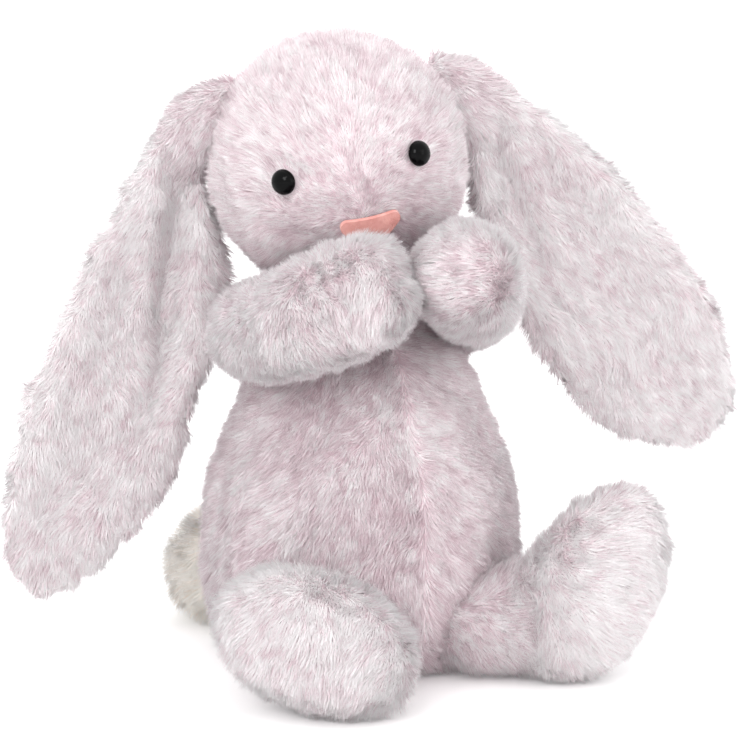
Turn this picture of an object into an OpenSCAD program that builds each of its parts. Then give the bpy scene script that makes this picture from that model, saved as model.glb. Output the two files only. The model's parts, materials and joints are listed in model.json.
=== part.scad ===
// Seated plush rabbit with long floppy ears, holding its paws to its mouth.
// Frame: +Z is up, the rabbit faces -Y, its left side is +X,
// and the origin is the middle of the flat seat that rests on the table.

/* [Cloth] */
// Thickness of the plush cloth with its backing
cloth = 2; // [1.5:0.1:2.5]
// Gap between a filling and the cloth around it
slack = 0.3; // [0.2:0.05:0.5]

/* [Torso] */
// Height of the neck seam above the table
neck_height = 120; // [116:1:120]
// Radius of the belly at its widest
belly_radius = 51; // [47:1:51]
// Radius of the flat seat
seat_radius = 34; // [28:1:36]
// Radius of the neck seam
neck_radius = 15; // [12:1:16]
// Radius of the bean pouch in the seat
pouch_radius = 34; // [28:1:38]
// Height of the bean pouch
pouch_height = 18; // [12:1:24]

/* [Tail] */
// Radius of the pompom tail
tail_radius = 19; // [16:1:20]

/* [Head] */
// Radius of the head across the cheeks
head_radius = 40.5; // [38:0.5:41]
// Reach of the muzzle in front of the middle of the head
muzzle_reach = 47.5; // [44:0.5:50]
// Reach of the nape behind the middle of the head
nape_reach = 39; // [36:0.5:41]
// Turn of the head towards the rabbit's right
head_turn = 18; // [14:1:20]
// Tilt of the head towards the rabbit's right shoulder
head_tilt = 11.5; // [8:0.5:14]
// Width of the gusset between the two cheek panels, as an angle round the muzzle line
gusset_angle = 44; // [30:2:60]

/* [Face] */
// Diameter of an eye
eye_diameter = 8; // [7:0.5:9]
// Angle from the nose line to each eye
eye_spread = 27; // [24:1:32]
// Angle of the nose below the middle of the face
nose_drop = 27; // [22:1:28]
// Angle of the nose to the left of the middle of the face
nose_turn = 3; // [0:1:4]
// Width of the nose
nose_width = 19; // [16:1:22]
// Height of the nose
nose_height = 12; // [10:1:14]

/* [Ears] */
// Thickness of an ear at its middle line
ear_thickness = 7; // [6:0.5:8]

/* [Limbs] */
// Radius of a paw
paw_radius = 18.5; // [16:0.5:18.5]
// Half the length of a foot from heel to toe
foot_half_length = 34; // [30:1:34]
// Half the width of a foot
foot_half_width = 22; // [19:0.5:22]
// Distance of a sole from the middle of the torso
sole_reach = 94; // [90:1:96]
// Outward roll of the right foot
foot_roll_right = 70; // [60:1:75]
// Outward roll of the left foot
foot_roll_left = 27; // [24:1:40]
// How far the right sole is turned back towards the front
foot_turn_right = 0; // [0:1:5]
// How far the left sole is turned back towards the front
foot_turn_left = 30; // [20:1:36]

/* [Hidden] */
$fn = 48;

lilac = [0.88, 0.83, 0.88];
lilac_inner = [0.83, 0.76, 0.83];
cream = [0.93, 0.90, 0.83];
filling = [0.96, 0.96, 0.95];
beans = [0.86, 0.84, 0.80];
nose_pink = [0.87, 0.60, 0.54];
glossy_black = [0.03, 0.03, 0.03];
washer_white = [0.93, 0.93, 0.92];

up = [0, 0, 1];
limb_sides = 20;          // points round a limb
ear_sides = 12;           // steps across an ear
tip = 0.4;                // smallest half-size of a loft's end ring

// ---------- curves and lofts ----------

function unit(v) = v / norm(v);
function clamp(i, n) = max(0, min(n - 1, i));
// Point on a smooth curve through the rows of p, where u runs from 0 to the last row
function spline(p, u) =
    let (n = len(p), i = min(floor(u), n - 2), f = u - i,
         a = p[clamp(i - 1, n)], b = p[i], c = p[i + 1], d = p[clamp(i + 2, n)])
    0.5 * (2 * b + (c - a) * f + (2 * a - 5 * b + 4 * c - d) * f * f
           + (3 * b - a - 3 * c + d) * f * f * f);
function smooth(p, steps) = [for (i = [0 : steps]) spline(p, i * (len(p) - 1) / steps)];
function middle(v, i = 0, s = [0, 0, 0]) = i == len(v) ? s / len(v) : middle(v, i + 1, s + v[i]);
function backwards(v) = [for (i = [len(v) - 1 : -1 : 0]) v[i]];
function part(v, first, last) = [for (i = [first : last]) v[i]];
// Stretch of a rounded end: 0 at each end and 1 in the middle, blunter as power grows
function rounded(t, power) = sqrt(max(0.01, 1 - pow(abs(2 * t - 1), power)));
// Steps from 0 to 1 that crowd at both ends, where a loft closes
function steps_to(n) = [for (i = [0 : n]) (1 - cos(180 * i / n)) / 2];

// Closed solid through rings of equal point count, capped at both ends. With split, every ring
// runs out along one edge and back along the other, and the caps join the two straight across
module loft(rings, split = false) {
    n = len(rings[0]);
    m = len(rings);
    last = (m - 1) * n;
    points = concat([for (r = rings) each r],
        split ? [] : [middle(rings[0]), middle(rings[m - 1])]);
    sides = [for (j = [0 : m - 2], i = [0 : n - 1]) each
        let (k = (i + 1) % n)
        [[j * n + i, j * n + k, (j + 1) * n + k],
         [j * n + i, (j + 1) * n + k, (j + 1) * n + i]]];
    fans = [for (i = [0 : n - 1]) each
        let (k = (i + 1) % n)
        [[n * m, k, i], [n * m + 1, last + i, last + k]]];
    bands = [for (i = [0 : n / 2 - 2]) each
        let (k = i + 1, p = n - 2 - i, q = n - 1 - i)
        [[i, p, k], [i, q, p],
         [last + i, last + k, last + p], [last + i, last + p, last + q]]];
    polyhedron(points, concat(sides, split ? bands : fans));
}

// ---------- limbs ----------

// A station is [centre, direction, half-size across, half-size along rise, rise]
// Stations along a limb. Each row of route is [x, y, z, half across, half along rise]
function stations(route, rise, count, power) =
    [for (t = steps_to(count))
        let (u = t * (len(route) - 1), row = spline(route, u),
             ahead = spline(route, min(u + 0.05, len(route) - 1)),
             behind = spline(route, max(u - 0.05, 0)),
             d = unit([for (k = [0 : 2]) ahead[k] - behind[k]]),
             r = unit(rise - (rise * d) * d), end = rounded(t, power))
        [[row[0], row[1], row[2]], d, end * row[3], end * row[4], r]];
// The same limb shrunk by inset, with its end rings drawn in
function shrunk(list, inset) =
    [for (i = [0 : len(list) - 1])
        let (s = list[i], last = len(list) - 1, at_end = i == 0 || i == last,
             shift = i == 0 ? inset : i == last ? -inset : 0)
        [s[0] + shift * s[1], s[1],
         at_end ? tip : max(tip, s[2] - inset), at_end ? tip : max(tip, s[3] - inset), s[4]]];
// Points of one station from angle a0 to a1. Nothing goes lower than floor_z
function arc(s, a0, a1, steps, floor_z) =
    let (side = cross(s[1], s[4]))
    [for (i = [0 : steps])
        let (a = a0 + (a1 - a0) * i / steps,
             p = s[0] + s[2] * cos(a) * side + s[3] * sin(a) * s[4])
        [p[0], p[1], max(p[2], floor_z)]];
function ring(s, floor_z) = arc(s, 0, 360 * (1 - 1 / limb_sides), limb_sides - 1, floor_z);

// Half of a limb's cloth tube, between two angles
module half_cloth(outer, inner, a0, a1, split = false) {
    loft([for (i = [0 : len(outer) - 1])
        concat(arc(outer[i], a0, a1, limb_sides / 2, 0),
               arc(inner[i], a1, a0, limb_sides / 2, cloth))], split);
}
// Cup that closes a limb's end: inside from the tip to the rim, then outside back to the tip
module end_cup(outer, inner) {
    loft(concat([for (s = backwards(inner)) ring(s, cloth)], [for (s = outer) ring(s, 0)]));
}
module limb_filling(list) {
    loft([for (s = list) ring(s, cloth + slack)]);
}

// ---------- ears ----------

// Offset of the ear's outside from its middle surface, at s from -1 to 1 across
function ear_half(s) = ear_thickness / 2 * sqrt(1.05 - s * s);
function ear_inside(s) = max(0.1, ear_half(s) - cloth * 0.75);
// Stations along an ear. Each row is [across, forward, up, half-width, cupping]
function ear_stations(rows, count) =
    [for (t = steps_to(count))
        let (u = t * (len(rows) - 1), row = spline(rows, u),
             ahead = spline(rows, min(u + 0.05, len(rows) - 1)),
             behind = spline(rows, max(u - 0.05, 0)),
             here = head_place(row), d = unit(head_place(ahead) - head_place(behind)),
             n = unit(head_forward - (head_forward * d) * d), end = rounded(t, 5))
        [here, d, n, end * row[3], row[4], end]];
function ear_point(s, across, offset) =
    s[0] + across * s[3] * cross(s[1], s[2]) + (s[4] * across * across + offset * s[5]) * s[2];
function ear_row(s, from, to, width, side, outside) =
    [for (i = [0 : ear_sides])
        let (a = from + (to - from) * i / ear_sides)
        ear_point(s, a * width, side * (outside ? ear_half(a) : ear_inside(a)))];
module ear_panel(list, side) {
    loft([for (s = list) concat(ear_row(s, side, -side, 1, side, true),
                                ear_row(s, -side, side, 1, side, false))], split = true);
}
module ear_filling(list) {
    loft([for (s = part(list, 1, len(list) - 2))
        let (w = 0.86, k = 0.75)
        concat([for (i = [0 : ear_sides]) let (a = 1 - 2 * i / ear_sides)
                   ear_point(s, a * w, k * (ear_inside(a * w) - 0.1) + 0.02)],
               [for (i = [0 : ear_sides]) let (a = 2 * i / ear_sides - 1)
                   ear_point(s, a * w, -k * (ear_inside(a * w) - 0.1) - 0.02)])]);
}

// ---------- places ----------

head_centre = [-7, 2.5, 162];
head_across = [cos(head_turn), -sin(head_turn), 0];
head_forward = [-sin(head_turn), -cos(head_turn), 0];
// A place given as [across to the rabbit's left, forward, up] from the middle of the head
function head_place(p) = head_centre + p[0] * head_across + p[1] * head_forward + p[2] * up;

// Ear rows: across, forward, up, half-width, cupping
ear_right_rows = [
    [-44, 0, 18, 6.5, 1], [-53.5, -5, -6, 11.5, 3], [-56.5, -13, -35, 24.5, 5],
    [-68.5, -9, -66, 26, 6], [-80, -6, -97, 27.5, 5], [-101.5, -3, -138, 20.5, 3]];
ear_left_rows = [
    [41, 0, 25, 7, 1], [55, -4, 8, 15.5, 4], [69.5, -13, -16, 26.5, 7],
    [88.5, -18, -40.5, 29, 6], [107, -23, -67.5, 30, 5], [136, -36, -93.5, 22, 3]];
ear_left_list = ear_stations(ear_left_rows, 16);
ear_right_list = ear_stations(ear_right_rows, 16);

// Arm rows: x, y, z, half across, half along rise
arm_right_rows = [
    [-36, 8, 112, 7, 7], [-42.5, -14.5, 110, 14, 14.5],
    [-37.5, -45, 118, 16.5, 17], [-16.5, -66.5, 131.5, paw_radius, paw_radius]];
arm_left_rows = [
    [35, 2, 113, 7, 7], [30, -22, 118, 14, 14],
    [16, -47, 126, 16, 16.5], [0.3, -71.5, 132.5, paw_radius - 0.5, paw_radius - 0.5]];
arm_power = 7;
arm_left_list = stations(arm_left_rows, up, 14, arm_power);
arm_right_list = stations(arm_right_rows, up, 14, arm_power);

// Legs: how far round from straight ahead each one points
leg_spread = 34;
// Height of the middle of a foot that is rolled outward and stands on the table
function foot_height(roll) =
    norm([foot_half_length * cos(roll), foot_half_width * sin(roll)]) - 0.5;
// side is 1 for the left leg and -1 for the right leg, and turned is how far the way bends inward
function leg_ahead(side, turned = 0) =
    [side * sin(leg_spread - turned), -cos(leg_spread - turned), 0];
function leg_outward(side, turned = 0) =
    [side * cos(leg_spread - turned), sin(leg_spread - turned), 0];
// Leg rows: x, y, z, half across, half heel to toe, inward turn
function leg_rows(side, roll, turned) =
    let (height = foot_height(roll), sole = sole_reach * leg_ahead(side) + height * up)
    [concat(49 * leg_ahead(side) - 9 * leg_outward(side) + 12 * up, [6, 6, 0]),
     concat(64 * leg_ahead(side) + (12 + height) / 2 * up, [16, 19.5, turned / 3]),
     concat(sole - 15 * leg_ahead(side, turned),
         [foot_half_width, foot_half_length - 1, turned]),
     concat(sole, [foot_half_width, foot_half_length, turned])];
root_from = 1;            // station where a leg's cloth starts, open toward the torso
sole_from = 8;            // station where the sole panel starts
leg_count = 13;
leg_power = 3;
// Every ring of a leg stands upright, so that the sole does too
function leg_list(side, roll, turned) =
    let (rows = leg_rows(side, roll, turned))
    [for (t = steps_to(leg_count))
        let (r = spline(rows, t * (len(rows) - 1)), end = rounded(t, leg_power))
        [[r[0], r[1], r[2]], leg_ahead(side, r[5]), end * r[3], end * r[4],
         cos(roll) * up + sin(roll) * leg_outward(side, r[5])]];
leg_left_list = leg_list(1, foot_roll_left, foot_turn_left);
leg_right_list = leg_list(-1, foot_roll_right, foot_turn_right);

// ---------- torso ----------

torso_points = [
    [seat_radius, 0], [belly_radius - 6, 8], [belly_radius, 24], [belly_radius, 40],
    [belly_radius - 3, 62], [belly_radius - 11, 82], [belly_radius - 18, 98],
    [belly_radius - 26, neck_height - 12], [neck_radius, neck_height]];
torso_outline = smooth(torso_points, 24);

module torso_quarter(start) {
    rotate([0, 0, start])
        rotate_extrude(angle = 90)
            polygon(concat(torso_outline,
                [for (p = backwards(torso_outline)) [p[0] - cloth, max(cloth, p[1] - 0.2)]]));
}
module torso_solid(grown) {
    rotate_extrude()
        polygon(concat([[0, 0]], [for (p = torso_outline) [p[0] + grown, p[1]]],
            [[0, neck_height]]));
}
module torso_front_left() { color(lilac) torso_quarter(270); }
module torso_front_right() { color(lilac) torso_quarter(180); }
module torso_back_left() { color(lilac) torso_quarter(0); }
module torso_back_right() { color(lilac) torso_quarter(90); }
module torso_base() {
    edge = 0.1;
    color(lilac)
        rotate_extrude()
            polygon([[0, 0], [seat_radius - edge, 0], [seat_radius - cloth - edge, cloth - edge],
                [0, cloth - edge]]);
}
module pouch_solid(grown) {
    base = cloth + slack + 0.5;
    rotate_extrude()
        polygon(concat([[0, base - grown]],
            smooth([[pouch_radius * 0.75, base - grown], [pouch_radius + grown, base + pouch_height * 0.4],
                [pouch_radius * 0.7, base + pouch_height * 0.9], [0, base + pouch_height + grown]], 9)));
}
module bean_pouch() { color(beans) pouch_solid(0); }
module torso_stuffing() {
    color(filling)
        difference() {
            rotate_extrude()
                polygon(concat([[0, cloth + slack]],
                    [for (p = torso_outline) [p[0] - cloth - slack, max(cloth + slack, p[1] - slack)]],
                    [[0, neck_height - slack]]));
            pouch_solid(slack);
        }
}

// ---------- tail ----------

tail_centre = [-22, 61, tail_radius];
module tail_cut(radius, grown) {
    difference() {
        translate(tail_centre) sphere(radius);
        torso_solid(grown);
    }
}
module tail_cover() {
    color(cream)
        difference() {
            tail_cut(tail_radius, 0.1);
            translate(tail_centre) sphere(tail_radius - cloth);
        }
}
module tail_stuffing() { color(filling) tail_cut(tail_radius - cloth - slack, 0.1); }

// ---------- head ----------

// Half outline of the egg-shaped head, from the nape to the muzzle along its second axis
function egg(inset) =
    [for (i = [0 : 24])
        let (a = 180 - i * 7.5, reach = cos(a) > 0 ? muzzle_reach : nape_reach)
        [(head_radius - inset) * sin(a), (reach - inset) * cos(a)]];
module at_head() {
    translate(head_centre) rotate([0, -head_tilt, -head_turn]) children();
}
// Muzzle line along -Y of the head
module egg_solid(inset) { rotate([90, 0, 0]) rotate_extrude() polygon(egg(inset)); }
module egg_cloth(start, sweep) {
    rotate([90, 0, 0])
        rotate([0, 0, start])
            rotate_extrude(angle = sweep)
                polygon(concat(egg(0), backwards(egg(cloth))));
}
// Puts its children at the head's outside, +Z outwards, turned to the side and dropped from the muzzle line
module on_face(turn, drop) {
    direction = [sin(turn) * cos(drop), -cos(turn) * cos(drop), -sin(drop)];
    reach = 1 / sqrt(pow(direction[0] / head_radius, 2) + pow(direction[1] / muzzle_reach, 2)
                     + pow(direction[2] / head_radius, 2));
    normal = unit([direction[0] / pow(head_radius, 2), direction[1] / pow(muzzle_reach, 2),
                   direction[2] / pow(head_radius, 2)]);
    translate(reach * direction)
        rotate([0, acos(normal[2]), atan2(normal[1], normal[0])])
            children();
}
shank_radius = 1.6;
washer_radius = 6;
washer_thickness = 1.5;
washer_depth = cloth + 0.7;
module shank_hole() { translate([0, 0, -12]) cylinder(r = shank_radius + 0.2, h = 16); }
module head_panel(start, side) {
    color(lilac)
        at_head()
            difference() {
                egg_cloth(start, 180 - gusset_angle / 2);
                on_face(side * eye_spread, 0) shank_hole();
            }
}
module head_left_panel() { head_panel(-90, 1); }
module head_right_panel() { head_panel(90 + gusset_angle / 2, -1); }
module head_gusset() { color(lilac) at_head() egg_cloth(90 - gusset_angle / 2, gusset_angle); }
module head_stuffing() {
    color(filling)
        at_head()
            difference() {
                egg_solid(cloth + slack);
                for (side = [-1, 1])
                    on_face(side * eye_spread, 0)
                        translate([0, 0, -12])
                            cylinder(r = washer_radius + 0.4, h = 16);
            }
}
// Safety eye: low dome, then a shank through the cloth
module eye(side) {
    radius = eye_diameter / 2;
    dome = radius * 0.75;
    color(glossy_black)
        at_head()
            on_face(side * eye_spread, 0)
                rotate_extrude()
                    polygon(concat([[0, -9], [shank_radius, -9], [shank_radius, 0.1], [radius * 0.94, 0.1]],
                        [for (a = [0 : 10 : 90]) [radius * cos(a), 0.7 + dome * sin(a)]]));
}
module eye_washer(side) {
    color(washer_white)
        at_head()
            on_face(side * eye_spread, 0)
                translate([0, 0, -washer_depth - washer_thickness])
                    difference() {
                        cylinder(r = washer_radius, h = washer_thickness);
                        translate([0, 0, -1]) cylinder(r = shank_radius + 0.1, h = washer_thickness + 2);
                    }
}
module eye_left() { eye(1); }
module eye_right() { eye(-1); }
module eye_washer_left() { eye_washer(1); }
module eye_washer_right() { eye_washer(-1); }
// Rounded triangle of cloth, point down, on the end of the muzzle
module nose() {
    corner = 2.5;
    pad = 1.2;
    reach = nose_width / 2 - corner;
    color(nose_pink)
        at_head()
            difference() {
                intersection() {
                    egg_solid(-pad);
                    on_face(nose_turn, nose_drop)
                        hull() {
                            for (side = [-1, 1])
                                translate([-nose_height / 2 + corner, side * reach, -6])
                                    cylinder(r = corner, h = 12, $fn = 32);
                            translate([nose_height / 2 - corner, 0, -6])
                                cylinder(r = corner, h = 12, $fn = 32);
                        }
                }
                egg_solid(0);
            }
}

// ---------- ears, arms and legs ----------

module ear_left_front() { color(lilac_inner) ear_panel(ear_left_list, 1); }
module ear_left_back() { color(lilac) ear_panel(ear_left_list, -1); }
module ear_left_wadding() { color(filling) ear_filling(ear_left_list); }
module ear_right_front() { color(lilac_inner) ear_panel(ear_right_list, 1); }
module ear_right_back() { color(lilac) ear_panel(ear_right_list, -1); }
module ear_right_wadding() { color(filling) ear_filling(ear_right_list); }

module arm_cloth(list, a0, a1) { color(lilac) half_cloth(list, shrunk(list, cloth), a0, a1); }
module arm_left_upper() { arm_cloth(arm_left_list, 0, 180); }
module arm_left_lower() { arm_cloth(arm_left_list, 180, 360); }
module arm_left_stuffing() { color(filling) limb_filling(shrunk(arm_left_list, cloth + slack)); }
module arm_right_upper() { arm_cloth(arm_right_list, 0, 180); }
module arm_right_lower() { arm_cloth(arm_right_list, 180, 360); }
module arm_right_stuffing() { color(filling) limb_filling(shrunk(arm_right_list, cloth + slack)); }

module leg_cloth(list, a0, a1) {
    color(lilac)
        half_cloth(part(list, root_from, sole_from),
            part(shrunk(list, cloth), root_from, sole_from), a0, a1, split = true);
}
module leg_sole(list) {
    color(lilac)
        end_cup(part(list, sole_from, leg_count), part(shrunk(list, cloth), sole_from, leg_count));
}
module leg_stuffing(list) {
    color(filling) limb_filling(part(shrunk(list, cloth + slack), 0, sole_from));
}
module leg_beans(list) {
    color(beans) limb_filling(part(shrunk(list, cloth + slack), sole_from, leg_count));
}
module leg_left_upper() { leg_cloth(leg_left_list, 0, 180); }
module leg_left_lower() { leg_cloth(leg_left_list, 180, 360); }
module leg_left_sole() { leg_sole(leg_left_list); }
module leg_left_stuffing() { leg_stuffing(leg_left_list); }
module leg_left_beans() { leg_beans(leg_left_list); }
module leg_right_upper() { leg_cloth(leg_right_list, 0, 180); }
module leg_right_lower() { leg_cloth(leg_right_list, 180, 360); }
module leg_right_sole() { leg_sole(leg_right_list); }
module leg_right_stuffing() { leg_stuffing(leg_right_list); }
module leg_right_beans() { leg_beans(leg_right_list); }

torso_front_left();
torso_front_right();
torso_back_left();
torso_back_right();
torso_base();
torso_stuffing();
bean_pouch();
tail_cover();
tail_stuffing();
head_left_panel();
head_right_panel();
head_gusset();
head_stuffing();
eye_left();
eye_right();
eye_washer_left();
eye_washer_right();
nose();
ear_left_front();
ear_left_back();
ear_left_wadding();
ear_right_front();
ear_right_back();
ear_right_wadding();
arm_left_upper();
arm_left_lower();
arm_left_stuffing();
arm_right_upper();
arm_right_lower();
arm_right_stuffing();
leg_left_upper();
leg_left_lower();
leg_left_sole();
leg_left_stuffing();
leg_left_beans();
leg_right_upper();
leg_right_lower();
leg_right_sole();
leg_right_stuffing();
leg_right_beans();
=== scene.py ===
"""Looks of the plush rabbit: sewn cloth bodies, a pile of real fibres on every panel, and a face."""

import json
import math
import bmesh
import bpy
import numpy as np
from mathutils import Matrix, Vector
from mathutils.bvhtree import BVHTree


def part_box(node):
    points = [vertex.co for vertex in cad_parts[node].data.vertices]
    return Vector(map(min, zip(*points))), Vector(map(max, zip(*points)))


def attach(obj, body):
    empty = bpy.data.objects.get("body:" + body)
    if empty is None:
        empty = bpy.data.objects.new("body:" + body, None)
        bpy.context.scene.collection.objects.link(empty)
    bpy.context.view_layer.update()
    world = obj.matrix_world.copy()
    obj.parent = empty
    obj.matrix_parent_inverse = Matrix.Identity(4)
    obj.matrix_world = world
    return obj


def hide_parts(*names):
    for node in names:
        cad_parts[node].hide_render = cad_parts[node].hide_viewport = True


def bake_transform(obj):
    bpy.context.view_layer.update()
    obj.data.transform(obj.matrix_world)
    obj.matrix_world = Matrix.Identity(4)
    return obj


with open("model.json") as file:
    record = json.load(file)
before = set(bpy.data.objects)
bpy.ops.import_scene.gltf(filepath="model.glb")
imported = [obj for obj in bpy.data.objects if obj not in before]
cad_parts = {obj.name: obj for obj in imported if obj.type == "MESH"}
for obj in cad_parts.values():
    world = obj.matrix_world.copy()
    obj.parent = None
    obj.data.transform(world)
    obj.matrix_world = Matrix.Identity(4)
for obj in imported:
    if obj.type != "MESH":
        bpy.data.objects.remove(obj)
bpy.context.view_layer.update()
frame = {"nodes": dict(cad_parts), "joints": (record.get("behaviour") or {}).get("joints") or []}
nodes = frame["nodes"]
joints = {j["name"]: j for j in frame["joints"]}
scene = bpy.context.scene

MM = 0.001
UP = np.array([0.0, 0.0, 1.0])

# Middle of the head, and its own directions
HEAD_TURN = math.radians(18)
HEAD_CENTRE = np.array([-7, 2.5, 162]) * MM
HEAD_ACROSS = np.array([math.cos(HEAD_TURN), -math.sin(HEAD_TURN), 0])
HEAD_FORWARD = np.array([-math.sin(HEAD_TURN), -math.cos(HEAD_TURN), 0])


def on_head(across, forward, up):
    return HEAD_CENTRE + (across * HEAD_ACROSS + forward * HEAD_FORWARD + up * UP) * MM


# ---------- what covers what ----------

TORSO = ["torso_front_left", "torso_front_right", "torso_back_left", "torso_back_right",
         "torso_base"]
HEAD = ["head_left_panel", "head_right_panel", "head_gusset"]


def ear_nodes(side):
    return [f"ear_{side}_front", f"ear_{side}_back"]


def arm_nodes(side):
    return [f"arm_{side}_upper", f"arm_{side}_lower"]


def leg_nodes(side):
    return [f"leg_{side}_upper", f"leg_{side}_lower", f"leg_{side}_sole"]


# name: (body, cover nodes, filling nodes, voxel in mm, how full it is stuffed)
COVERS = {
    "torso_cloth": ("torso", TORSO, ["torso_stuffing", "bean_pouch"], 4.5, 0.8),
    "tail_cloth": ("torso", ["tail_cover"], ["tail_stuffing"], 4.0, 0.7),
    "head_cloth": ("head", HEAD, ["head_stuffing"], 4.0, 0.9),
}
for side in ("left", "right"):
    COVERS[f"ear_{side}_cloth"] = (f"ear_{side}", ear_nodes(side), [f"ear_{side}_wadding"],
                                   3.0, 0.3)
    COVERS[f"arm_{side}_cloth"] = (f"arm_{side}", arm_nodes(side), [f"arm_{side}_stuffing"],
                                   3.5, 0.8)
    COVERS[f"leg_{side}_cloth"] = (f"leg_{side}", leg_nodes(side),
                                   [f"leg_{side}_stuffing", f"leg_{side}_beans"], 3.5, 0.7)

# ---------- small tools ----------


def unit(v):
    return v / np.maximum(np.linalg.norm(v, axis=-1, keepdims=True), 1e-12)


def dot(a, b):
    return np.sum(a * b, axis=-1, keepdims=True)


def waves(points, length, seed):
    """Smooth noise from about -1 to 1, with features about as long as length."""
    rng = np.random.default_rng(seed)
    total = np.zeros(len(points))
    for _ in range(7):
        k = unit(rng.normal(size=3)) * 2 * math.pi / (length * rng.uniform(0.7, 1.5))
        total += np.sin(points @ k + rng.uniform(0, 2 * math.pi))
    return total / 2.6


def cells(points, length, seed):
    """A random value from -1 to 1 for each small cube of space."""
    rng = np.random.default_rng(seed)
    turn = np.linalg.qr(rng.normal(size=(3, 3)))[0]
    cell = np.floor(points @ turn / length).astype(np.int64) @ [73856093, 19349663, 83492791]
    return rng.uniform(-1, 1, 65521)[cell % 65521]


def new_object(name, mesh):
    o = bpy.data.objects.new(name, mesh)
    scene.collection.objects.link(o)
    return o


def vertex_array(mesh, what="co"):
    out = np.empty(len(mesh.vertices) * 3)
    mesh.vertices.foreach_get(what, out)
    return out.reshape(-1, 3)


def triangles(mesh):
    """The corners of a mesh's triangles, one row for each triangle."""
    tris = np.empty(len(mesh.loop_triangles) * 3, np.int32)
    mesh.loop_triangles.foreach_get("vertices", tris)
    return tris.reshape(-1, 3)


def areas(a, b, c):
    """Areas of triangles in square millimetres."""
    return 0.5 * np.linalg.norm(np.cross(b - a, c - a), axis=1) / MM ** 2


def search_tree(mesh):
    """A tree that finds the nearest point of a mesh."""
    return BVHTree.FromPolygons([v.co for v in mesh.vertices],
                                [p.vertices for p in mesh.polygons])


def dress(o, material):
    """Gives an object one material, and no other."""
    o.data.materials.clear()
    o.data.materials.append(material)


def set_vertices(mesh, points):
    mesh.vertices.foreach_set("co", points.astype(np.float32).ravel())
    mesh.update()


def apply_modifiers(o):
    shape = bpy.data.meshes.new_from_object(
        o.evaluated_get(bpy.context.evaluated_depsgraph_get()))
    o.modifiers.clear()
    o.data = shape


def keep_largest(mesh):
    """Drops every loose part but the one with the largest box."""
    bm = bmesh.new()
    bm.from_mesh(mesh)
    left = set(bm.verts)
    best, best_size = set(), -1.0
    while left:
        todo = [left.pop()]
        part = set(todo)
        while todo:
            v = todo.pop()
            for e in v.link_edges:
                w = e.other_vert(v)
                if w not in part:
                    part.add(w)
                    todo.append(w)
        left -= part
        co = np.array([v.co for v in part])
        size = float(np.linalg.norm(co.max(0) - co.min(0)))
        if size > best_size:
            best, best_size = part, size
    bmesh.ops.delete(bm, geom=[v for v in bm.verts if v not in best], context="VERTS")
    bm.to_mesh(mesh)
    bm.free()


# ---------- materials ----------


def principled(name, colour, roughness=0.8, sheen=0.0, specular=0.3):
    m = bpy.data.materials.new(name)
    m.use_nodes = True
    b = m.node_tree.nodes["Principled BSDF"]
    b.inputs["Base Color"].default_value = (*colour, 1)
    b.inputs["Roughness"].default_value = roughness
    b.inputs["Specular IOR Level"].default_value = specular
    b.inputs["Sheen Weight"].default_value = sheen
    b.inputs["Sheen Roughness"].default_value = 0.5
    return m


def mottled(name, low, high, size, roughness=0.85, bump=0.3, fine=900.0, sheen=0.2):
    """A cloth whose colour wanders between two tones, with a fine knitted bump."""
    m = principled(name, high, roughness, sheen, 0.2)
    tree = m.node_tree
    b = tree.nodes["Principled BSDF"]
    place = tree.nodes.new("ShaderNodeTexCoord")
    noise = tree.nodes.new("ShaderNodeTexNoise")
    noise.inputs["Scale"].default_value = size
    noise.inputs["Detail"].default_value = 5
    tree.links.new(place.outputs["Object"], noise.inputs["Vector"])
    ramp = tree.nodes.new("ShaderNodeValToRGB")
    ramp.color_ramp.elements[0].position = 0.3
    ramp.color_ramp.elements[0].color = (*low, 1)
    ramp.color_ramp.elements[1].position = 0.7
    ramp.color_ramp.elements[1].color = (*high, 1)
    tree.links.new(noise.outputs["Fac"], ramp.inputs["Fac"])
    tree.links.new(ramp.outputs["Color"], b.inputs["Base Color"])
    knit = tree.nodes.new("ShaderNodeTexVoronoi")
    knit.inputs["Scale"].default_value = fine
    tree.links.new(place.outputs["Object"], knit.inputs["Vector"])
    raised = tree.nodes.new("ShaderNodeBump")
    raised.inputs["Strength"].default_value = bump
    raised.inputs["Distance"].default_value = 0.0004
    tree.links.new(knit.outputs["Distance"], raised.inputs["Height"])
    tree.links.new(raised.outputs["Normal"], b.inputs["Normal"])
    return m


def linear(r, g, b):
    """Linear colour of a colour given as screen values from 0 to 255."""
    return tuple(c / 12.92 if c <= 0.04045 else ((c + 0.055) / 1.055) ** 2.4
                 for c in (r / 255, g / 255, b / 255))


def pile_tones(name, tones):
    """One material for each tone of a pile, from the deepest to the palest."""
    out = []
    for i, tone in enumerate(tones):
        m = principled(f"{name}_{i}", linear(*tone), 0.9, 0.1, 0.0)
        b = m.node_tree.nodes["Principled BSDF"]
        b.inputs["Subsurface Weight"].default_value = 0.5
        b.inputs["Subsurface Radius"].default_value = (1.0, 0.9, 0.95)
        b.inputs["Subsurface Scale"].default_value = 0.5 * MM
        out.append(m)
    return out


LILAC = pile_tones("lilac_pile", [
    (211, 182, 191), (234, 211, 218), (246, 232, 236), (254, 247, 249)])
CREAM = pile_tones("cream_pile", [
    (252, 228, 208), (254, 237, 220), (255, 244, 231), (255, 249, 240)])
# The backing cloths keep their own mauve and cream hue, made deeper to match the pile's self-shadow:
# partly painted shade, so bare spots look like shaded pile.
lilac_painted_shade_cloth = mottled("lilac_backing_painted_shade", linear(207, 192, 197), linear(216, 202, 206), 60, sheen=0.0)
cream_painted_shade_cloth = mottled("cream_backing_painted_shade", linear(224, 208, 191), linear(232, 218, 203), 60, sheen=0.0)

# ---------- sewn and stuffed bodies ----------

# How far each skin starts inside its panels, and how far it may swell out again
SHRINK = 1.5 * MM
SHRINK_EAR = 0.8 * MM
SWELL = 1.6 * MM
SWELL_EAR = 0.8 * MM
SWELL_FRAMES = 20


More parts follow.
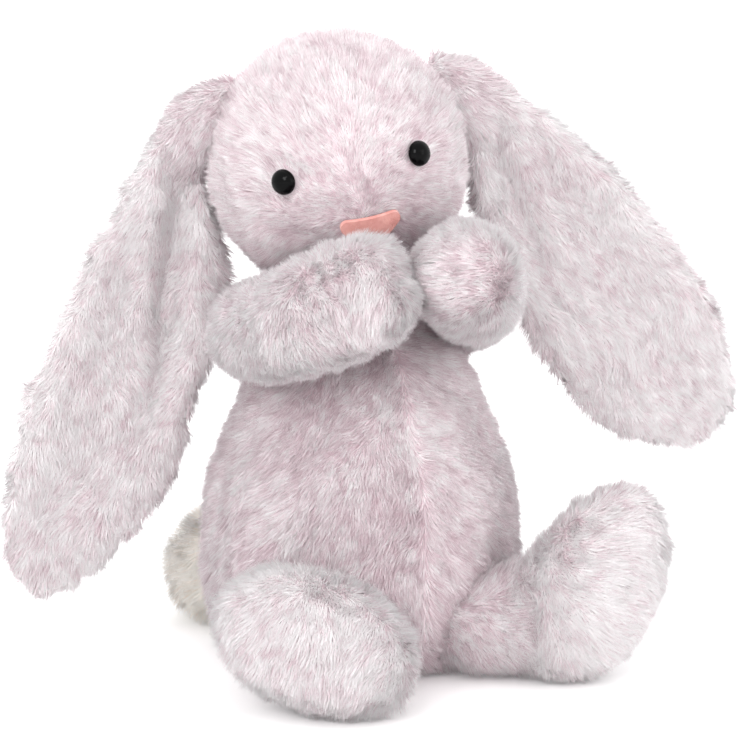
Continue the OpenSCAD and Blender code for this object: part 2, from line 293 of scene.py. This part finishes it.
def cover_start(name):
    """A slightly small closed copy of the covers and their filling, ready to swell."""
    _, cover_nodes, fillings, voxel, _ = COVERS[name]
    bm = bmesh.new()
    for n in cover_nodes + fillings:
        bm.from_mesh(nodes[n].data)
    mesh = bpy.data.meshes.new(name)
    bm.to_mesh(mesh)
    bm.free()
    mesh.materials.clear()
    o = new_object(name, mesh)
    remesh = o.modifiers.new("remesh", "REMESH")
    remesh.mode = "VOXEL"
    remesh.voxel_size = voxel * MM
    apply_modifiers(o)
    keep_largest(o.data)
    shrink = SHRINK_EAR if "ear" in name else SHRINK
    set_vertices(o.data, vertex_array(o.data) - shrink * vertex_array(o.data, "normal"))
    return o


def swell(objects, caps):
    """Blows the covers up with cloth pressure. No point moves further than its cap."""
    for o in objects:
        cloth = o.modifiers.new("cloth", "CLOTH")
        s = cloth.settings
        s.quality = 4
        s.mass = 0.2
        s.tension_stiffness = 12
        s.compression_stiffness = 12
        s.bending_stiffness = 0.4
        s.use_pressure = True
        s.uniform_pressure_force = 4
        s.effector_weights.gravity = 0
        cloth.collision_settings.use_collision = False
        cloth.point_cache.frame_start = 1
        cloth.point_cache.frame_end = SWELL_FRAMES
    for f in range(1, SWELL_FRAMES + 1):
        scene.frame_set(f)
    dg = bpy.context.evaluated_depsgraph_get()
    ends = [vertex_array(o.evaluated_get(dg).data) for o in objects]
    for o, end, cap in zip(objects, ends, caps):
        o.modifiers.clear()
        start = vertex_array(o.data)
        step = end - start
        far = np.linalg.norm(step, axis=1, keepdims=True)
        set_vertices(o.data, start + step * np.minimum(1, cap / np.maximum(far, 1e-9)))
    scene.frame_set(1)


def nearest_cover(points, covers):
    """For each point, the index of the nearest cover node, and how much further the next is."""
    trees = [search_tree(nodes[n].data) for n in covers]
    away = np.empty((len(points), len(covers)))
    for i, p in enumerate(points):
        for k, tree in enumerate(trees):
            away[i, k] = tree.find_nearest(Vector(p))[3]
    order = np.sort(away, axis=1)
    gap = order[:, 1] - order[:, 0] if len(covers) > 1 else np.full(len(points), 1.0)
    return away.argmin(1), gap


# The fold down the front of each ear, as (across, up) from the middle of the head, in mm
EAR_FOLD = {"ear_left_cloth": [(41, 24), (50, 4), (59, -16), (70, -40), (82, -60)],
            "ear_right_cloth": [(-47, 12), (-50, -12), (-53, -40), (-59, -70), (-70, -98)]}
FOLD_DEPTH = 3.4
FOLD_WIDE = 4.0
# The low ridge along both sides of that fold: its height, how far off it runs, and its width
RIDGE_HEIGHT = 1.2
RIDGE_AWAY = 9
RIDGE_WIDE = 4.5


def fold_depth(co, normal, path):
    """How far a fold along the path presses each point in, with a low ridge on both sides."""
    off = co - HEAD_CENTRE
    flat = np.stack([off @ HEAD_ACROSS, off[:, 2]], axis=1) / MM
    path = np.array(path, float)
    best = np.full(len(co), 1e9)
    where = np.zeros(len(co))
    for i in range(len(path) - 1):
        way = path[i + 1] - path[i]
        t = np.clip((flat - path[i]) @ way / (way @ way), 0, 1)
        far = np.linalg.norm(flat - path[i] - t[:, None] * way, axis=1)
        near = far < best
        best = np.where(near, far, best)
        where = np.where(near, (i + t) / (len(path) - 1), where)
    ends = np.clip(where / 0.15, 0, 1) * np.clip((1 - where) / 0.45, 0, 1)
    front = np.clip(1.6 * (normal @ HEAD_FORWARD), 0, 1)
    valley = FOLD_DEPTH * np.exp(-(best / FOLD_WIDE) ** 2)
    ridge = RIDGE_HEIGHT * np.exp(-((best - RIDGE_AWAY) / RIDGE_WIDE) ** 2)
    return (valley - ridge) * ends * front * MM


def clear_of(points, fillings, gap=0.6):
    """Moves every point that is in a filling, or less than gap mm from it, out of it."""
    for n in fillings:
        tree = search_tree(nodes[n].data)
        for i, p in enumerate(points):
            at, face_normal, _, far = tree.find_nearest(Vector(p))
            out = (Vector(p) - at).dot(face_normal) > 0
            if not out or far < gap * MM:
                points[i] = at + face_normal * gap * MM
    return points


# The groove along a seam, how much of it an ear has, and the soft lumps all over
SEAM_WIDE = 1.6 * MM
SEAM_DEPTH = 1.1 * MM
EAR_SEAM = 0.15
LUMP_HEIGHT = 0.45 * MM

covers = {name: cover_start(name) for name in COVERS}
swell(list(covers.values()), [SWELL_EAR if "ear" in name else SWELL for name in covers])

panel_of = {}
for name, o in covers.items():
    body, cover_nodes, fillings, _, fill = COVERS[name]
    sub = o.modifiers.new("sub", "SUBSURF")
    sub.levels = 1
    sub.render_levels = 1
    apply_modifiers(o)
    mesh = o.data
    co = vertex_array(mesh)
    normal = vertex_array(mesh, "normal")
    label, gap = nearest_cover(co, cover_nodes)
    seam = np.exp(-(gap / SEAM_WIDE) ** 2) * (EAR_SEAM if "ear" in name else 1.0)
    lumps = waves(co, 22 * MM, 11) + 0.5 * waves(co, 9 * MM, 12)
    co = co + normal * (LUMP_HEIGHT * lumps - SEAM_DEPTH * seam)[:, None]
    if "ear" in name:
        rim = 1 - np.abs(normal @ HEAD_FORWARD)
        puff = MM * (0.6 + 1.6 * rim ** 2) - fold_depth(co, normal, EAR_FOLD[name])
        co = co + normal * puff[:, None]
    co = clear_of(co, fillings)
    co[:, 2] = np.maximum(co[:, 2], 0.1 * MM)
    set_vertices(mesh, co)
    dress(o, cream_painted_shade_cloth if "tail" in name else lilac_painted_shade_cloth)
    mesh.polygons.foreach_set("use_smooth", np.ones(len(mesh.polygons), bool))
    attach(o, body)
    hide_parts(*cover_nodes)
    mesh.calc_loop_triangles()
    panel_of[name] = label[triangles(mesh)[:, 0]]

# ---------- pile ----------

# A fibre's root corners, as angles about its length, and its four faces (corner 3 is the tip)
CORNERS = np.radians([270, 30, 150])
FIBRE = np.array([[0, 1, 3], [1, 2, 3], [2, 0, 3], [2, 1, 0]])
# A panel with more fibres than this is cut into slices
MOST_FIBRES = 45000
# How far below the skin a fibre starts, and how near the table a fibre may come, in mm
SUNK = 0.5
TABLE_GAP = 0.25
# The shades at which a fibre takes the next paler tone
TONE_STEPS = [-0.7, 0.0, 0.7]


def turned(d, n, angle):
    """Direction d turned about the normal n."""
    c = np.cos(angle)[:, None]
    s = np.sin(angle)[:, None]
    return d * c + np.cross(n, d) * s


def fibre_mesh(name, root, tip, normal, across, thick, tone, materials):
    """One closed three-sided spike for each row, flat side up, all in one mesh."""
    count = len(root)
    way = unit(tip - root)
    side = unit(across - dot(across, way) * way)
    upward = np.cross(way, side)
    points = np.empty((count, 4, 3))
    normals = np.empty((count, 4, 3))
    for k, a in enumerate(CORNERS):
        r = math.cos(a) * side + math.sin(a) * upward
        points[:, k] = root + 0.5 * thick[:, None] * r
        normals[:, k] = unit(0.35 * normal + 0.8 * r)
    points[:, 3] = tip
    normals[:, 3] = unit(0.5 * normal + 0.5 * upward + 0.2 * way)
    points[:, :, 2] = np.maximum(points[:, :, 2], TABLE_GAP * MM)
    faces = (np.arange(count)[:, None, None] * 4 + FIBRE[None]).reshape(-1, 3)
    mesh = bpy.data.meshes.new(name)
    mesh.vertices.add(count * 4)
    mesh.vertices.foreach_set("co", points.astype(np.float32).ravel())
    mesh.loops.add(len(faces) * 3)
    mesh.loops.foreach_set("vertex_index", faces.astype(np.int32).ravel())
    mesh.polygons.add(len(faces))
    mesh.polygons.foreach_set("loop_start", np.arange(0, len(faces) * 3, 3, dtype=np.int32))
    mesh.polygons.foreach_set("use_smooth", np.ones(len(faces), bool))
    for m in materials:
        mesh.materials.append(m)
    mesh.polygons.foreach_set("material_index", np.repeat(tone, 4).astype(np.int32))
    mesh.update()
    mesh.normals_split_custom_set_from_vertices(normals.reshape(-1, 3).tolist())
    return new_object(name, mesh)


def grow(name, skin, chosen, comb, length, seed, density=7.2, materials=LILAC, rise=36,
         light=0.0, thick=0.36, bare=None, swirl=(20, 16)):
    """Pile on the chosen triangles of a skin. comb gives the lie of the pile at each point.

    length and thick are in mm, density in fibres to a square mm, rise and swirl in degrees.
    light shifts the tones paler or deeper for the whole part, as painted lighting and shade that
    makes each part as bright as it looked lit. bare says which fibres to leave out, and how short to
    cut the rest.
    """
    rng = np.random.default_rng(seed)
    mesh = skin.data
    co = vertex_array(mesh)
    vn = vertex_array(mesh, "normal")
    tris = triangles(mesh)[chosen]
    area = areas(*(co[tris[:, i]] for i in range(3)))
    # evenly spread: each triangle gets its share of fibres, give or take one
    count = int(area.sum() * density)
    pick = np.searchsorted(np.cumsum(area),
                           (np.arange(count) + rng.random(count)) / count * area.sum())
    pick = np.minimum(pick, len(tris) - 1)
    u, v = rng.random((2, count))
    flip = u + v > 1
    u[flip], v[flip] = 1 - u[flip], 1 - v[flip]
    w = np.stack([1 - u - v, u, v], axis=1)[:, :, None]
    root = (w * co[tris[pick]]).sum(1)
    normal = unit((w * vn[tris[pick]]).sum(1))
    lie = comb(root)
    lie = unit(lie - dot(lie, normal) * normal)
    turn = (swirl[0] * waves(root, 26 * MM, 3) + swirl[1] * waves(root, 7 * MM, 4)
            + rng.normal(0, 9, count))
    lie = turned(lie, normal, np.radians(turn))
    lift = (rise + 6 * waves(root, 10 * MM, 6) + 7 * waves(root, 4 * MM, 9)
            + rng.normal(0, 7, count))
    lift = np.radians(np.clip(lift, 6, 80))
    long = (length * MM * (1 + 0.1 * waves(root, 12 * MM, 5) + 0.08 * waves(root, 4 * MM, 10))
            * rng.uniform(0.75, 1.12, count))
    keep = np.ones(count, bool)
    if bare is not None:
        keep, cut = bare(root, lie, long)
        long = long * cut
    tip = root + long[:, None] * (np.cos(lift)[:, None] * lie + np.sin(lift)[:, None] * normal)
    # the tone: random shifts, plus the part's painted lighting and shade
    shade = (light + 0.2 * waves(root, 30 * MM, 7) + 0.15 * waves(root, 7 * MM, 8)
             + 0.6 * cells(root, 1.7 * MM, 11) + 0.45 * cells(root, 2.6 * MM, 12)
             + rng.normal(0, 0.4, count))
    tone = np.digitize(shade, TONE_STEPS)
    width = thick * MM * rng.uniform(0.8, 1.2, count)
    return fibre_mesh(name, (root - SUNK * MM * normal)[keep], tip[keep], normal[keep],
                      np.cross(normal, lie)[keep], width[keep], tone[keep], materials)


def place(node):
    """Middle of a node's box."""
    low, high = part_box(node)
    return np.array((low + high) / 2)


def joint_at(name):
    return np.array(joints[name]["pos_m"])


head_middle = place("head_stuffing")
nose_at = place("nose")
eyes_at = [place("eye_left"), place("eye_right")]
tail_at = place("tail_stuffing")
JOINT_OF = {"ear_left": "ear_left_lift", "ear_right": "ear_right_lift",
            "arm_left": "shoulder_left_fold", "arm_right": "shoulder_right_fold",
            "leg_left": "hip_left_lift", "leg_right": "hip_right_lift"}


def torso_lie(p):
    """Down the body, and away from the seam down the belly."""
    d = np.tile([0.0, 0.0, -1.0], (len(p), 1))
    x = p[:, 0] / MM
    d[:, 0] += (0.4 * np.tanh(x / 9) + 1.1 * np.tanh(x) * np.exp(-np.abs(x) / 4)) * (p[:, 1] < 0)
    flat = p[:, 2] < 4 * MM
    d[flat, :2] += 2 * unit(p[flat, :2])
    return d


def head_lie(p):
    """Away from the nose, all round the head."""
    return unit(p - nose_at) + 0.15 * UP


def along(body):
    """Away from the limb's sewn end, and sinking."""
    start = joint_at(JOINT_OF[body])

    def lie(p):
        return unit(p - start) - UP
    return lie


def ear_lie(body, skin):
    """Along the ear, spreading towards its edges."""
    start = joint_at(JOINT_OF[body])
    middle = vertex_array(skin.data).mean(0)
    way = unit(middle - start)

    def lie(p):
        off = p - start
        side = off - dot(off, way[None]) * way
        return way + 2.5 * side
    return lie


def towards(way):
    """One direction everywhere."""
    def lie(p):
        return np.tile(np.array(way, float), (len(p), 1))
    return lie


def tail_lie(p):
    """Down and back, spreading away from the tail's middle."""
    return np.tile([0.2, 0.3, -1.0], (len(p), 1)) + 25 * (p - tail_at)


# How far round the middle of an eye the skin has no pile, in mm
EYE_CLEAR = 3.9


def face_bare(root, own, long):
    """Leaves the eyes and the nose free, and cuts short what would lie over them."""
    keep = np.ones(len(root), bool)
    cut = np.ones(len(root))
    reach = root + own * (0.75 * long)[:, None]
    for eye in eyes_at:
        at = eye + 2.0 * MM * unit(eye - head_middle)
        here = np.linalg.norm(root - at, axis=1)
        there = np.linalg.norm(reach - at, axis=1)
        mid = np.linalg.norm((root + reach) / 2 - at, axis=1)
        keep &= here > EYE_CLEAR * MM
        near = (there < (EYE_CLEAR + 0.6) * MM) | (mid < (EYE_CLEAR + 0.6) * MM)
        cut = np.where(near, np.minimum(cut, 0.45), cut)
        keep &= ~(near & (here < (EYE_CLEAR + 0.9) * MM))
    inside = nose_shape(root)
    keep &= ~inside
    near = nose_shape(reach) & ~inside
    cut = np.where(near, 0.4, cut)
    # the pile is clipped short from the nose up to between the eyes, and lengthens around that
    away = np.linalg.norm(root - (nose_at + UP * 12 * MM), axis=1) / MM
    cut = cut * np.clip(0.62 + 0.38 * (away - 12) / 24, 0.62, 1.0)
    return keep, cut


nose_tree = search_tree(nodes["nose"].data)


def nose_shape(points):
    """Whether each point is on or just round the nose."""
    out = np.zeros(len(points), bool)
    close = np.linalg.norm(points - nose_at, axis=1) < 16 * MM
    for i in np.nonzero(close)[0]:
        out[i] = nose_tree.find_nearest(Vector(points[i]))[3] < 1.0 * MM
    return out


def pile_on(name, comb, length, seed, density=7.2, **more):
    """Piles for each cover panel of a body, named for the panel, in slices of modest size."""
    body, cover_nodes, _, _, _ = COVERS[name]
    skin = covers[name]
    corners = vertex_array(skin.data)[triangles(skin.data)]
    area = areas(*(corners[:, i] for i in range(3)))
    for k, node in enumerate(cover_nodes):
        chosen = np.nonzero(panel_of[name] == k)[0]
        if not len(chosen):
            continue
        middles = corners[chosen].mean(1)
        tallest = int(np.argmax(np.ptp(middles, axis=0)))
        chosen = chosen[np.argsort(middles[:, tallest])]
        total = np.cumsum(area[chosen]) * density
        slices = int(total[-1] // MOST_FIBRES) + 1
        which = np.minimum((total / total[-1] * slices).astype(int), slices - 1)
        for i in range(slices):
            label = f"{node}_pile" if slices == 1 else f"{node}_pile_{i + 1}"
            pile = grow(label, skin, chosen[which == i], comb, length, seed + 17 * k + i,
                        density=density, **more)
            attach(pile, body)


# The light values below are painted lighting and shade: paler tones lift the tail, ears, arms and
# feet out of their shade, and deeper tones paint shade on the torso.
pile_on("torso_cloth", torso_lie, 5.4, 100, light=-0.2)
pile_on("head_cloth", head_lie, 5.4, 200, light=0.0, bare=face_bare)
pile_on("tail_cloth", tail_lie, 8.0, 300, materials=CREAM, rise=50, swirl=(50, 40), light=0.8)
for s, side in enumerate(("left", "right")):
    ear = f"ear_{side}"
    pile_on(f"{ear}_cloth", ear_lie(ear, covers[f"{ear}_cloth"]), 5.2, 400 + 100 * s,
            light=0.6)
    arm = f"arm_{side}"
    lie = along(arm) if side == "right" else towards((-0.9, -0.2, 0.15))
    pile_on(f"{arm}_cloth", lie, 5.2, 600 + 100 * s, light=0.3)
    leg = f"leg_{side}"
    pile_on(f"{leg}_cloth", along(leg), 5.4, 800 + 100 * s, light=0.7)

# ---------- gathered cloth at the sewn ends ----------


def gather(name, rows, thin, seed, length=5.2):
    """A short sewn sleeve between two bodies. Each row is (place, half wide, half thin)."""
    places = np.array([r[0] for r in rows])
    sizes = np.array([r[1:] for r in rows]) * MM
    count, sides = 13, 28
    u = np.linspace(0, len(rows) - 1, count)
    known = np.arange(len(rows))
    line = np.stack([np.interp(u, known, places[:, i]) for i in range(3)], axis=1)
    line[1:-1] = (line[:-2] + 2 * line[1:-1] + line[2:]) / 4
    wide = np.interp(u, known, sizes[:, 0])
    slim = np.interp(u, known, sizes[:, 1])
    way = unit(np.gradient(line, axis=0))
    thin = np.array(thin, float)
    out = unit(thin - dot(way, thin[None]) * way)
    across = np.cross(way, out)
    angle = np.linspace(0, 2 * math.pi, sides, endpoint=False)
    rings = (line[:, None] + (wide[:, None] * np.cos(angle))[:, :, None] * across[:, None]
             + (slim[:, None] * np.sin(angle))[:, :, None] * out[:, None])
    points = rings.reshape(-1, 3)
    points[:, 2] = np.maximum(points[:, 2], 0.2 * MM)
    faces = [(i * sides + j, (i + 1) * sides + j, (i + 1) * sides + (j + 1) % sides,
              i * sides + (j + 1) % sides) for i in range(count - 1) for j in range(sides)]
    faces.append(tuple(range(sides)))
    faces.append(tuple((count - 1) * sides + j for j in range(sides - 1, -1, -1)))
    mesh = bpy.data.meshes.new(name)
    mesh.from_pydata(points.tolist(), [], faces)
    mesh.polygons.foreach_set("use_smooth", np.ones(len(faces), bool))
    mesh.materials.append(lilac_painted_shade_cloth)
    mesh.calc_loop_triangles()
    o = new_object(name, mesh)
    start, end = line[0], line[-1]
    tubes = np.arange(2 * (count - 1) * sides)
    lie = towards(unit(end - start) - 0.2 * UP)
    pile = grow(f"{name}_pile", o, tubes, lie, length, seed)
    for piece in (o, pile):
        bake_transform(piece)


def mm(*v):
    return np.array(v, float) * MM


gather("neck_gather",
       [(mm(0, 0, 104), 21, 21), (mm(-2, 0, 120), 20, 20), (mm(-6, 1, 135), 22, 22)],
       (0, -1, 0), 700)
gather("ear_left_gather",
       [(on_head(29, 0, 21), 12, 6), (on_head(40, 0, 20), 11.5, 6),
        (on_head(50, -2, 13), 11, 4.5), (on_head(57, -5, 4), 8, 2)], HEAD_FORWARD, 710)
gather("ear_right_gather",
       [(on_head(-31, 0, 15), 11, 6), (on_head(-42, 0, 13), 10, 6),
        (on_head(-49, -3, 4), 9, 4.5), (on_head(-53, -6, -8), 7, 2)], HEAD_FORWARD, 720)
gather("shoulder_left_gather",
       [(mm(18, 4, 104), 11, 11), (mm(34, -2, 112), 12, 12), (mm(30, -22, 118), 13, 13)],
       (0, 0, 1), 730)
gather("shoulder_right_gather",
       [(mm(-18, 6, 103), 11, 11), (mm(-36, 3, 110), 12, 12), (mm(-42, -14, 108.5), 13, 13)],
       (0, 0, 1), 740)
LEG_SPREAD = math.radians(34)
for k, side in ((1, "left"), (-1, "right")):
    ahead = np.array([k * math.sin(LEG_SPREAD), -math.cos(LEG_SPREAD), 0]) * MM
    out = np.array([k * math.cos(LEG_SPREAD), math.sin(LEG_SPREAD), 0]) * MM
    gather(f"hip_{side}_gather",
           [(36 * ahead - 8 * out + mm(0, 0, 17), 12, 13),
            (50 * ahead - 8 * out + mm(0, 0, 17), 13, 14),
            (63 * ahead + mm(0, 0, 20), 15, 17)], (0, 0, 1), 750 + k)

# ---------- eyes, nose and what is inside ----------

eye_black = principled("eye_black", (0.001, 0.001, 0.0012), 0.08, 0.0, 0.09)
dress(nodes["eye_left"], eye_black)
dress(nodes["eye_right"], eye_black)
nose_satin = mottled("nose_satin", linear(200, 130, 122), linear(224, 166, 157), 300, 0.6,
                     0.5, 2500.0, 0.4)
dress(nodes["nose"], nose_satin)
fibre_fill = mottled("fibre_fill", (0.78, 0.78, 0.78), (0.92, 0.92, 0.92), 80, 0.95, 0.6,
                     400.0)
pellets = mottled("pellets", (0.7, 0.7, 0.68), (0.88, 0.88, 0.86), 200, 0.5, 1.0, 350.0)
washer = mottled("washer_plastic", (0.74, 0.74, 0.72), (0.82, 0.82, 0.8), 150, 0.4, 0.1,
                 600.0, 0.0)
for n, o in nodes.items():
    inner = None
    if "stuffing" in n or "wadding" in n:
        inner = fibre_fill
    if "beans" in n or "pouch" in n:
        inner = pellets
    if "washer" in n:
        inner = washer
    if inner:
        dress(o, inner)

# ---------- floor, lights and camera ----------

# Light from all round, how much the floor shines by itself, and the watts of each lamp
WORLD_LIGHT = 1.5
FLOOR_GLOW = 0.13
KEY_WATTS = 17
FILL_WATTS = 3
TOP_WATTS = 1

floor_mesh = bpy.data.meshes.new("floor")
HALF_FLOOR = 6.0
floor_corners = [(-HALF_FLOOR, -HALF_FLOOR, 0), (HALF_FLOOR, -HALF_FLOOR, 0),
                 (HALF_FLOOR, HALF_FLOOR, 0), (-HALF_FLOOR, HALF_FLOOR, 0)]
floor_mesh.from_pydata(floor_corners, [], [(0, 1, 2, 3)])
floor = new_object("floor", floor_mesh)
floor_mesh.materials.append(mottled("pale_floor", (0.86, 0.86, 0.86), (0.9, 0.9, 0.9), 3, 0.9,
                                    0.05, 100.0, 0.0))
floor_glow = floor_mesh.materials[0].node_tree.nodes["Principled BSDF"]
floor_glow.inputs["Emission Color"].default_value = (1, 1, 1, 1)
floor_glow.inputs["Emission Strength"].default_value = FLOOR_GLOW

world = bpy.data.worlds.new("studio")
scene.world = world
world.use_nodes = True
world.node_tree.nodes["Background"].inputs["Color"].default_value = (1, 1, 1, 1)
world.node_tree.nodes["Background"].inputs["Strength"].default_value = WORLD_LIGHT


def soft_light(name, at, size, watts, aim=(0, 0, 0.1)):
    data = bpy.data.lights.new(name, "AREA")
    data.size = size
    data.energy = watts
    o = bpy.data.objects.new(name, data)
    o.location = at
    o.rotation_euler = (Vector(aim) - Vector(at)).to_track_quat("-Z", "Y").to_euler()
    scene.collection.objects.link(o)


soft_light("key", (-1.1, -1.4, 0.9), 0.8, KEY_WATTS)
soft_light("fill", (1.0, -1.4, 0.5), 0.8, FILL_WATTS)
soft_light("top", (0.1, 0.3, 1.6), 1.0, TOP_WATTS)

scene.view_settings.view_transform = "Standard"

camera = bpy.data.objects.new("camera", bpy.data.cameras.new("camera"))
scene.collection.objects.link(camera)
camera.location = Vector((-333.71, -727.09, 206.0)) * MM
target = Vector((4.385, -2.045, 92.143)) * MM
camera.rotation_euler = (target - camera.location).to_track_quat("-Z", "Y").to_euler()
camera.data.lens = 119.04
camera.data.sensor_width = 36
camera.data.clip_start = 0.05
scene.camera = camera
